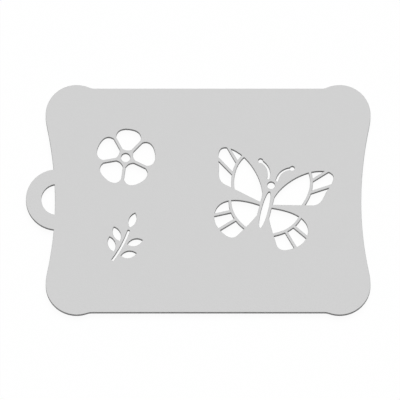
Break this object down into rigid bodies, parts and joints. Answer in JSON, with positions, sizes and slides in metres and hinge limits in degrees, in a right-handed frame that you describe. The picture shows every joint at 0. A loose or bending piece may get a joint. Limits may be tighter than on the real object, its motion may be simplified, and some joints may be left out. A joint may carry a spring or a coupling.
{
  "type": "temporary tattoo stencil",
  "caption": "Flat matte plastic stencil sheet with lobed corners, hollow sides and a half-moon hanging eye, cut through with butterfly, blossom and sprig windows for body paint.",
  "frame": {"origin": "centre of the sheet's back face, half way between its corner lobes", "axes": "+X along the sheet's length, away from the hanging eye; +Y up its height as its motifs are read; +Z out of its front face"},
  "size_m": [0.1336, 0.0922, 0.002],
  "materials": {
    "matte_sheet": "light grey plastic with a fine matte film grain on both faces and square-cut edges"
  },
  "bodies": {
    "root": {"stencil_sheet": "matte_sheet"}
  },
  "joints": []
}
